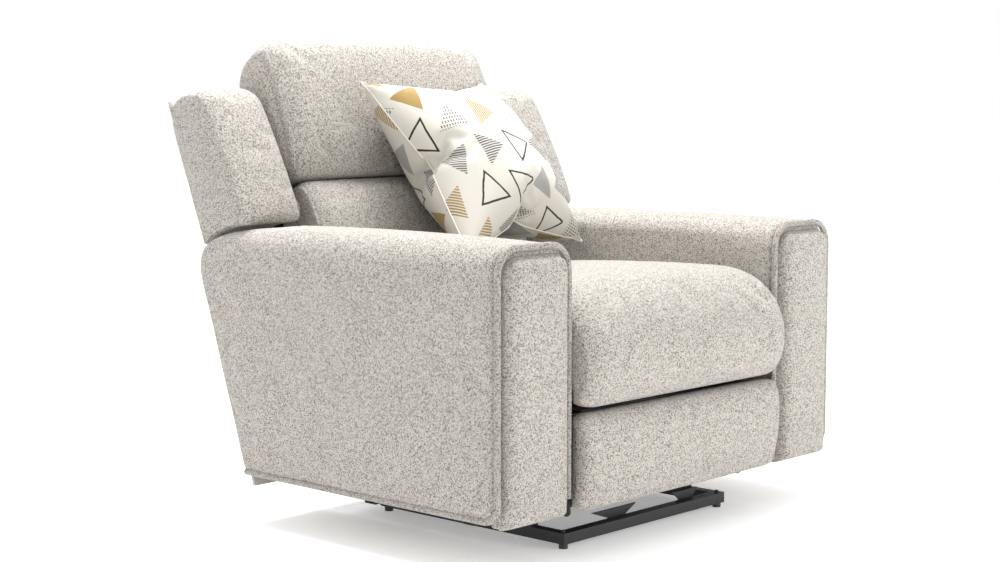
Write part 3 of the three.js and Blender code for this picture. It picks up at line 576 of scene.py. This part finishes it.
# ------------------------------------------------------------------ arms
def arm_rear_y(z):
    """Raked rear edge, then the shoulder that clears the wing as the back reclines."""
    z = np.asarray(z, float)
    rake = REAR_FOOT_Y + REAR_RAKE * (z - REAR_FOOT_Z)
    curve = np.array([[383, 508]] + bezier((383, 508), (390, 566), (352, 598), (225, 604.5), 20))
    order = np.argsort(curve[:, 1])
    shoulder = np.interp(z, curve[order, 1], curve[order, 0])
    return np.where(z < 508, rake, shoulder)


def arch_path(bottom, step):
    """Outer foot, up, over and down to the inner foot, as (x, z) with outward normals. Drawn for +X."""
    radius, rise = ARM_RADIUS, ARM_TOP - ARM_RADIUS
    points = [(ARM_OUT, bottom), (ARM_OUT, rise)]
    for k in range(1, 13):
        angle = math.pi / 2 * k / 12
        points.append((ARM_OUT - radius + radius * math.cos(angle), rise + radius * math.sin(angle)))
    for k in range(0, 13):
        angle = math.pi / 2 + math.pi / 2 * k / 12
        points.append((ARM_IN + radius + radius * math.cos(angle), rise + radius * math.sin(angle)))
    points.append((ARM_IN, bottom))
    path = resample(points, step, closed=False)
    tangent = np.gradient(path, axis=0)
    tangent /= np.linalg.norm(tangent, axis=1)[:, None]
    normal = np.stack([tangent[:, 1], -tangent[:, 0]], 1)
    return path, normal


def foot_curve(z):
    """How far the front edge draws back as it rounds into the bottom edge."""
    rise = np.clip(HEM_RADIUS - (z - SKIRT_Z), 0, HEM_RADIUS)
    return HEM_RADIUS - np.sqrt(HEM_RADIUS ** 2 - rise ** 2)


COVER_FRONT = -456.0


def arm_cover(side, sign):
    """Side panels and top of the arm, rolled into the front seam and the rear panel."""
    path, normal = arch_path(SKIRT_Z, 13.0)
    count = len(path)
    z = path[:, 1]
    outer = path[:, 0] > ARM_MIDDLE
    front = COVER_FRONT + foot_curve(z) * outer
    rear = arm_rear_y(z)
    lengths = rear - front
    stations = []
    for d in (0, 2.5, 6, 11, 18, 28):
        stations.append((front + d, -12 * np.exp(-d / 4.0)))
    for t in np.linspace(0, 1, 44)[1:-1]:
        y = front + 28 + (lengths - 28 - 50) * t
        stations.append((y, np.zeros(count)))
    roll = np.where(z > 500, 15.0, 13.0)
    for d in (50.0, 34.0, 22.0, 13.0, 6.0, 2.0, 0.0):
        reach = np.clip(roll - d, 0, roll)
        stations.append((rear - d, -(roll - np.sqrt(np.maximum(roll ** 2 - reach ** 2, 0)))))
    verts = []
    for y, off in stations:
        share = (y - front) / lengths
        swell = 6.0 * np.sin(math.pi * np.clip(share, 0, 1)) ** 0.7
        height = smoothstep(z, SKIRT_Z, SKIRT_Z + 60)
        bulge = np.where(outer, swell * height, np.where(z > 570, swell, -0.6))
        ripple = 0.9 * np.sin(y * 0.017 + z * 0.011) * np.sin(y * 0.006 - z * 0.019) * outer
        hem = -3.0 * np.exp(-((z - (SKIRT_Z + 14)) / 3.2) ** 2) * outer
        total = off + bulge + ripple + hem
        verts.append(np.stack([path[:, 0] + normal[:, 0] * total, y, path[:, 1] + normal[:, 1] * total], 1))
    rows = len(stations)
    verts = np.vstack(verts)
    faces = []
    for k in range(rows - 1):
        for i in range(count - 1):
            faces.append((k * count + i, k * count + i + 1, (k + 1) * count + i + 1, (k + 1) * count + i))
    # rear panel, rows between the two legs of the arch at equal height
    base = (rows - 1) * count
    half = count // 2
    across = 9
    extra, start = [], len(verts)
    grid = []
    for i in range(half):
        a, b = verts[base + i], verts[base + count - 1 - i]
        row = [base + i]
        for k in range(1, across):
            t = k / across
            point = a + (b - a) * t
            point[1] += 5.0 * math.sin(math.pi * t) * math.sin(math.pi * min(1, i / half * 1.05))
            row.append(start + len(extra))
            extra.append(point)
        row.append(base + count - 1 - i)
        grid.append(row)
    for i in range(half - 1):
        for k in range(across):
            faces.append((grid[i][k], grid[i][k + 1], grid[i + 1][k + 1], grid[i + 1][k]))
    top = grid[-1]
    if count % 2:
        crest = base + half
        for k in range(across):
            faces.append((top[k], top[k + 1], crest))
    else:
        faces.append(tuple(top))
    verts = np.vstack([verts, np.array(extra)])
    # underside, closing the two bottom edges
    for k in range(rows - 1):
        faces.append((k * count, (k + 1) * count, (k + 1) * count + count - 1, k * count + count - 1))
    verts[:, 0] *= sign
    made = add_object(f"arm_upholstery_{side}", verts, faces, FABRIC, "base",
                      stands_for=(f"arm_cover_{side}",))
    subdivide(made)
    return made


def arm_band(side, sign):
    """Rim around the front of the arm that holds the cord."""
    path, normal = arch_path(SKIRT_Z + 1.0, 9.0)
    section = [(-440, -24), (-440, -7), (-446, -7), (-452, -7.5), (-457, -9), (-460, -12), (-460, -16),
               (-457, -20), (-452, -24)]
    count, width = len(path), len(section)
    verts = []
    for k in range(count):
        for y, off in section:
            verts.append((path[k, 0] + normal[k, 0] * off, y, path[k, 1] + normal[k, 1] * off))
    faces = []
    for k in range(count - 1):
        for i in range(width):
            j = (i + 1) % width
            faces.append((k * width + i, k * width + j, (k + 1) * width + j, (k + 1) * width + i))
    faces += [tuple(range(width)), tuple(range((count - 1) * width, count * width))]
    made = add_object(f"arm_front_band_{side}", mirrored(verts, sign), faces, FABRIC_CORD, "base")
    subdivide(made)


def arm_cord(side, sign):
    """One cord along the hem, round the lower front corner, up, over the arm and down inside."""
    y, off, radius, hem_z = -462.0, -2.6, 6.6, SKIRT_Z + 13
    line, out = arch_path(SKIRT_Z + HEM_RADIUS, 8.0)
    arch = [(p[0] + o[0] * off, y, p[1] + o[1] * off) for p, o in zip(line, out)]
    hem = [(ARM_OUT + off, t, hem_z) for t in np.linspace(238, y + 34, 40)]
    bend = [(ARM_OUT + off, y + HEM_RADIUS * (1 - math.cos(a)), hem_z + HEM_RADIUS * (1 - math.sin(a)))
            for a in np.linspace(math.pi / 2, 0, 8)]
    tube(f"arm_cord_side_{side}", mirrored(hem + bend + arch[1:], sign), radius, FABRIC_CORD, "base")


def arm_pad(side, sign):
    """Stuffed panel set into the arm's front."""
    inset, bottom, top, radius = 15.0, 88.0, ARM_TOP - 15.0, 38.0
    half = (ARM_OUT - ARM_IN) / 2 - inset
    across, up = 18, 54
    us = np.sin(np.linspace(-1, 1, across + 1) * math.pi / 2)
    ts = np.linspace(0, 1, up + 1)
    verts, faces = [], []
    freedom = []
    for layer in (0, 1):
        for t in ts:
            z = bottom + (top - bottom) * t
            w = half
            if z > top - radius:
                w = half - radius + math.sqrt(max(radius ** 2 - (z - top + radius) ** 2, 0))
            low = 26.0
            if z < bottom + low:
                w -= (low - math.sqrt(max(low ** 2 - (bottom + low - z) ** 2, 0))) * 0.45
            w = max(w, 4.0)
            edge_z = min(t, 1 - t) * (top - bottom)
            for u in us:
                edge = (1 - abs(u)) * w
                reach = min(edge, edge_z)
                rise = math.sqrt(max(0.0, 1 - (1 - min(1, reach / 20.0)) ** 2))
                if layer == 0:
                    crown = 4.5 * (1 - u * u) * min(1, edge_z / 60)
                    y = -450 - 33 * rise - crown
                else:
                    y = -444.0
                verts.append((ARM_MIDDLE + u * w, y, z))
                freedom.append((smoothstep(reach, 3, 22) if layer == 0 else 0.0))
    row = across + 1
    sheet = row * (up + 1)
    for k in range(up):
        for i in range(across):
            a = k * row + i
            faces.append((a, a + 1, a + row + 1, a + row))
            faces.append((sheet + a, sheet + a + row, sheet + a + row + 1, sheet + a + 1))
    rim = [i for i in range(row)] + [k * row + across for k in range(1, up + 1)] \
        + [up * row + i for i in range(across - 1, -1, -1)] + [k * row for k in range(up - 1, 0, -1)]
    for a, b in zip(rim, rim[1:] + rim[:1]):
        faces.append((a, b, sheet + b, sheet + a))
    made = add_object(f"arm_front_pad_{side}", mirrored(verts, sign), faces, FABRIC, "base",
                      stands_for=(f"arm_front_{side}",))
    inflate(made, np.array(freedom), pressure=2.5, cap=3.0, grow=0.02)
    subdivide(made)


for side, sign in (("right", 1), ("left", -1)):
    arm_cover(side, sign)
    arm_band(side, sign)
    arm_cord(side, sign)
    arm_pad(side, sign)


# ------------------------------------------------------------------ seat and footrest
def seat_outline():
    """Side view (y, z) of the seat cushion: flat top, rolled nose."""
    top, front = 503.0, -513.0
    points = [(166, 372), (166, top - 30)]
    points += bezier((166, top - 30), (20, top - 6), (front + 270, top), (front + 150, top), 14)
    points += bezier((front + 150, top), (front + 62, top - 1), (front + 14, top - 50),
                     (front + 3, top - 104), 12)
    points += bezier((front + 3, top - 104), (front - 4, top - 150), (front + 4, 318), (front + 30, 290), 10)
    points += [(front + 66, 290), (front + 66, 372)]
    return points


def front_and_top(loop, normal):
    """Crown on the faces that look forwards and up."""
    return smoothstep(-normal[:, 0] + normal[:, 1] * 1.2, 0.1, 1.0)


bolster("seat_upholstery", seat_outline(), -321.0, 321.0, upright, "seat", ("seat_cushion",),
        lambda p, n: front_and_top(p, n) * smoothstep(p[:, 1], 300, 330), crown=13.0, crown_on=front_and_top,
        ends=(SOFT, SOFT), bulges=(4.0, 4.0), centre=(-440, 425),
        puff=dict(pressure=3.5, cap=9.0, grow=0.03), ease=12)


def footrest_outline():
    """Side view (y, z) of the footrest pad."""
    front, back, top = -500.0, -447.0, 281.0
    points = [(back, 97), (back, top - 3), (front + 26, top)]
    points += bezier((front + 26, top), (front + 8, top - 2), (front + 1, top - 26), (front, top - 62), 8)
    points += bezier((front, top - 62), (front - 1, 170), (front + 8, 120), (front + 22, 95), 10)
    return points


def facing_front(loop, normal):
    return smoothstep(-normal[:, 0], 0.2, 0.9)


bolster("footrest_upholstery", footrest_outline(), -319.0, 319.0, upright, "footrest", ("footrest_pad",),
        lambda p, n: facing_front(p, n) * smoothstep(p[:, 1], 100, 125), crown=5.0, crown_on=facing_front,
        ends=(TIGHT, TIGHT), puff=dict(pressure=3.0, cap=5.0, grow=0.03), ease=8)


# ------------------------------------------------------------------ back
def lumbar_outline():
    """Section of the lower back cushion, along the back."""
    back = 6.0
    points = [(back, 122), (back, 388), (-84, 389)]
    points += bezier((-84, 389), (-112, 380), (-119, 340), (-119, 290), 8)
    points += bezier((-119, 290), (-119, 220), (-108, 160), (-92, 122), 8)
    return points


bolster("lumbar_upholstery", lumbar_outline(), -318.0, 318.0, on_back, "back", ("lumbar_cushion",),
        lambda p, n: facing_front(p, n), crown=9.0, crown_on=facing_front,
        puff=dict(pressure=3.5, cap=10.0, grow=0.03))


def head_outline():
    """Section of the head cushion, whose back foot laps the board's top edge."""
    points = [(6, 392), (6, 599), (25, 600)]
    points += bezier((25, 600), (22, 662), (-12, 692), (-50, 698), 10)
    points += bezier((-50, 698), (-86, 708), (-116, 706), (-124, 668), 10)
    points += bezier((-124, 668), (-134, 610), (-132, 500), (-118, 440), 10)
    points += bezier((-118, 440), (-112, 415), (-104, 398), (-88, 392), 6)
    return points


def front_top_back(loop, normal):
    return np.maximum(smoothstep(-normal[:, 0], 0.1, 0.9), smoothstep(loop[:, 1], 600, 660))


bolster("head_upholstery", head_outline(), -329.0, 329.0, on_back, "back", ("head_cushion",),
        lambda p, n: front_top_back(p, n) * smoothstep(p[:, 1], 392, 420),
        crown=21.0, crown_on=front_top_back, ends=(SOFT, SOFT), bulges=(9.0, 9.0), centre=(-70, 560),
        puff=dict(pressure=4.0, cap=11.0, grow=0.035), ease=14)


def wing_outline():
    """Section of a side wing, hollowed underneath to clear the arm."""
    points = [(36, 296), (35, 420), (34, 540)]
    points += bezier((34, 540), (33, 596), (12, 614), (-18, 612), 8)
    points += bezier((-18, 612), (-52, 608), (-84, 600), (-95, 568), 8)
    points += [(-100, 540), (-107, 480), (-113, 410), (-116, 340), (-114, 302)]
    points += [(-106, 291), (-80, 299), (-50, 304), (-20, 307), (5, 304), (22, 299)]
    return points


def wing_free(loop, normal):
    return smoothstep(-normal[:, 0] + 1.1 * smoothstep(normal[:, 1], 0.3, 0.9), 0.15, 0.9)


for side, sign in (("right", 1), ("left", -1)):
    inner, outer = 347.0, 512.0
    span = (inner, outer) if sign > 0 else (-outer, -inner)
    ends = (ROLL, FINE) if sign > 0 else (FINE, ROLL)
    bulges = (8.0, 9.0) if sign > 0 else (9.0, 8.0)
    bolster(f"wing_upholstery_{side}", wing_outline(), span[0], span[1], on_back, "back", (f"wing_{side}",),
            wing_free, crown=9.0, crown_on=wing_free, ends=ends, bulges=bulges, centre=(-45, 450),
            puff=dict(pressure=3.0, cap=6.0, grow=0.03), ease=7, step=8.0)


def two_layer_faces(rows, across):
    """Faces of a grid of rows by across cells drawn twice, outer layer first, and of its rim."""
    row, sheet = across + 1, (across + 1) * rows
    faces = []
    for k in range(rows - 1):
        for i in range(across):
            a = k * row + i
            faces.append((a, a + row, a + row + 1, a + 1))
            faces.append((sheet + a, sheet + a + 1, sheet + a + row + 1, sheet + a + row))
    last = (rows - 1) * row
    rim = list(range(row)) + [k * row + across for k in range(1, rows)] \
        + [last + i for i in range(across - 1, -1, -1)] + [k * row for k in range(rows - 2, 0, -1)]
    for a, b in zip(rim, rim[1:] + rim[:1]):
        faces.append((a, b, sheet + b, sheet + a))
    return faces


def outside_back():
    """Stretched outside cover: wide above the arms, narrower between them, wrapped over the board's edges."""
    low, high, across = 22, 618, 28
    inner, wrapped, outer = 27.0, 5.5, 29.0
    rows = np.unique(np.r_[np.linspace(low, 312, 15), np.linspace(312, high, 17)])
    verts = []
    for layer in (0, 1):
        for z in rows:
            wide = WING_HALF if z > WING_Z else BACK_HALF
            for k in range(across + 1):
                u = k / across * 2 - 1
                edge = min((1 - abs(u)) * wide, z - low, high - z)
                swell = 5.0 * (1 - u * u) * math.sin(math.pi * (z - low) / (high - low))
                rise = math.sqrt(max(0, 1 - (1 - min(1, edge / 10)) ** 2))
                at_edge = (k in (0, across) and z <= 312) or z == rows[0]
                y = (wrapped if at_edge else inner) if layer else outer + 9.5 * rise + swell
                verts.append(on_back(np.array([u * wide]), np.array([y]), np.array([z]))[0])
    made = add_object("back_outside_cover", verts, two_layer_faces(len(rows), across), FABRIC, "back",
                      ("outside_back",))
    seam = [on_back(np.array([x]), np.array([39.0 + 4.5 * (1 - (x / WING_HALF) ** 2)]), np.array([330.0]))[0]
            for x in np.linspace(-500, 500, 40)]
    tube("back_outside_seam", seam, 2.2, FABRIC_CORD, "back")


outside_back()


def rear_cover():
    """Backing cloth stretched between the arms' rear edges, below the back."""
    low, high, half, across, up = 74, 284, 505, 30, 10
    verts = []
    for layer in (0, 1):
        for j in range(up + 1):
            z = low + (high - low) * j / up
            for k in range(across + 1):
                u = k / across * 2 - 1
                y = REAR_FOOT_Y + REAR_RAKE * (z - REAR_FOOT_Z) + 1.5
                if layer == 0:
                    y += 8 + 2.5 * (1 - u * u) * math.sin(math.pi * j / up) + 0.8 * math.sin(u * 9 + j)
                verts.append((u * half, y, z))
    made = add_object("rear_cover_cloth", verts, two_layer_faces(up + 1, across), BACKING, "base",
                      ("rear_cover",))


rear_cover()


# ------------------------------------------------------------------ loose cushion
def scatter_cushion():
    """Square cover blown up by pressure, scaled to its stuffed size and leant on the back."""
    size, cells = 462.0, 44
    stuffed = np.array([462.0, 222.0, 458.0])
    lean, turn = math.radians(38), math.radians(9)
    foot_x, foot_y, foot_z, turn_y = 64, 10, 540, 150
    at = np.linspace(-1, 1, cells + 1)
    index, verts, uvs = {}, [], []
    for layer in (1, -1):
        for j, w in enumerate(at):
            for i, u in enumerate(at):
                rim = i in (0, cells) or j in (0, cells)
                if rim and layer == -1:
                    index[(layer, i, j)] = index[(1, i, j)]
                    continue
                index[(layer, i, j)] = len(verts)
                puff = 26.0 * math.sqrt(max(0, (1 - u * u) * (1 - w * w)))
                verts.append((u * size / 2, -layer * puff, w * size / 2))
    faces = []
    for layer in (1, -1):
        for j in range(cells):
            for i in range(cells):
                quad = [index[(layer, i, j)], index[(layer, i + 1, j)], index[(layer, i + 1, j + 1)],
                        index[(layer, i, j + 1)]]
                faces.append(tuple(quad if layer == 1 else quad[::-1]))
                corners = [(i, j), (i + 1, j), (i + 1, j + 1), (i, j + 1)]
                corners = corners if layer == 1 else corners[::-1]
                shift = 0.0 if layer == 1 else 3.0
                uvs += [((a / cells) + shift, b / cells) for a, b in corners]
    mesh = bpy.data.meshes.new("scatter_cushion_cover")
    mesh.from_pydata((np.array(verts) * MM).tolist(), [], faces)
    layer_uv = mesh.uv_layers.new(name="UVMap")
    layer_uv.data.foreach_set("uv", np.array(uvs, float).ravel())
    mesh.polygons.foreach_set("use_smooth", [True] * len(mesh.polygons))
    mesh.materials.append(PRINT)
    made = bpy.data.objects.new("scatter_cushion_cover", mesh)
    scene.collection.objects.link(made)
    inflate(made, np.ones(len(verts)), pressure=9.0, cap=400.0, grow=0.0, stiff=0.3, frames=24)
    flat = np.empty(len(verts) * 3)
    mesh.vertices.foreach_get("co", flat)
    flat = flat.reshape(-1, 3) / MM
    flat -= (flat.max(0) + flat.min(0)) / 2
    flat *= stuffed / (flat.max(0) - flat.min(0))
    flat[:, 2] += stuffed[2] / 2
    x = flat[:, 0]
    y = foot_y + flat[:, 1] * math.cos(lean) + flat[:, 2] * math.sin(lean) - turn_y
    z = foot_z - flat[:, 1] * math.sin(lean) + flat[:, 2] * math.cos(lean)
    placed = np.stack([foot_x + x * math.cos(turn) - y * math.sin(turn),
                       turn_y + x * math.sin(turn) + y * math.cos(turn), z], 1)
    mesh.vertices.foreach_set("co", (placed * MM).ravel())
    mesh.update()
    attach(made, "scatter_cushion")
    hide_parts("scatter_cushion")
    subdivide(made)
    rim = [(1, i, 0) for i in range(cells)] + [(1, cells, j) for j in range(cells)] \
        + [(1, i, cells) for i in range(cells, 0, -1)] + [(1, 0, j) for j in range(cells, 0, -1)]
    tube("scatter_cushion_seam", placed[[index[k] for k in rim]], 2.0, PRINT_CORD, "scatter_cushion",
         closed=True, step=9.0)


scatter_cushion()


# ------------------------------------------------------------------ floor, light and camera
def area_light(name, place, target, size, power):
    """Round soft light, aimed at a point."""
    data = bpy.data.lights.new(name, "AREA")
    data.shape = "DISK"
    data.size = size
    data.energy = power
    lamp = bpy.data.objects.new(name, data)
    lamp.location = place
    aim = [t - p for t, p in zip(target, place)]
    lamp.rotation_euler = Vector(aim).to_track_quat("-Z", "Y").to_euler()
    scene.collection.objects.link(lamp)


floor_mesh = bpy.data.meshes.new("floor")
NEAR, FAR = -9, 14
floor_mesh.from_pydata([(NEAR, NEAR, 0), (FAR, NEAR, 0), (FAR, FAR, 0), (NEAR, FAR, 0)], [], [(0, 1, 2, 3)])
floor = bpy.data.objects.new("floor", floor_mesh)
scene.collection.objects.link(floor)
ground = Nodes("Floor_Pale_Glowing")
# The floor glows (emission 0.30): painted light that lifts the shadow under the chair and brightens its lower
# sides
floor_mesh.materials.append(ground.surface((0.93, 0.93, 0.93), 0.75, Emission_Color=(1, 1, 1, 1),
                                           Emission_Strength=0.30))

world = bpy.data.worlds.new("Studio")
world.use_nodes = True
world.node_tree.nodes["Background"].inputs["Color"].default_value = (1, 1, 1, 1)
world.node_tree.nodes["Background"].inputs["Strength"].default_value = 1.0
scene.world = world
area_light("key", (0.0, 0.7, 3.2), (0, 0, 0.4), 2.0, 180)
area_light("fill", (0.9, -3.0, 0.8), (0, 0, 0.3), 1.6, 32)
scene.view_settings.view_transform = "Standard"

CAMERA_PLACE = (-2.9206, -2.6799, 0.8711)
CAMERA_DOWN, CAMERA_TURN = 5.582, -47.263          # degrees below level, and about the vertical
camera_data = bpy.data.cameras.new("Camera")
camera_data.sensor_width = 36.0
camera_data.lens = 66.76
camera_data.shift_y = -0.0035
camera_data.clip_end = 100
camera = bpy.data.objects.new("Camera", camera_data)
camera.location = CAMERA_PLACE
camera.rotation_euler = (math.radians(90 - CAMERA_DOWN), 0, math.radians(CAMERA_TURN))
scene.collection.objects.link(camera)
scene.camera = camera
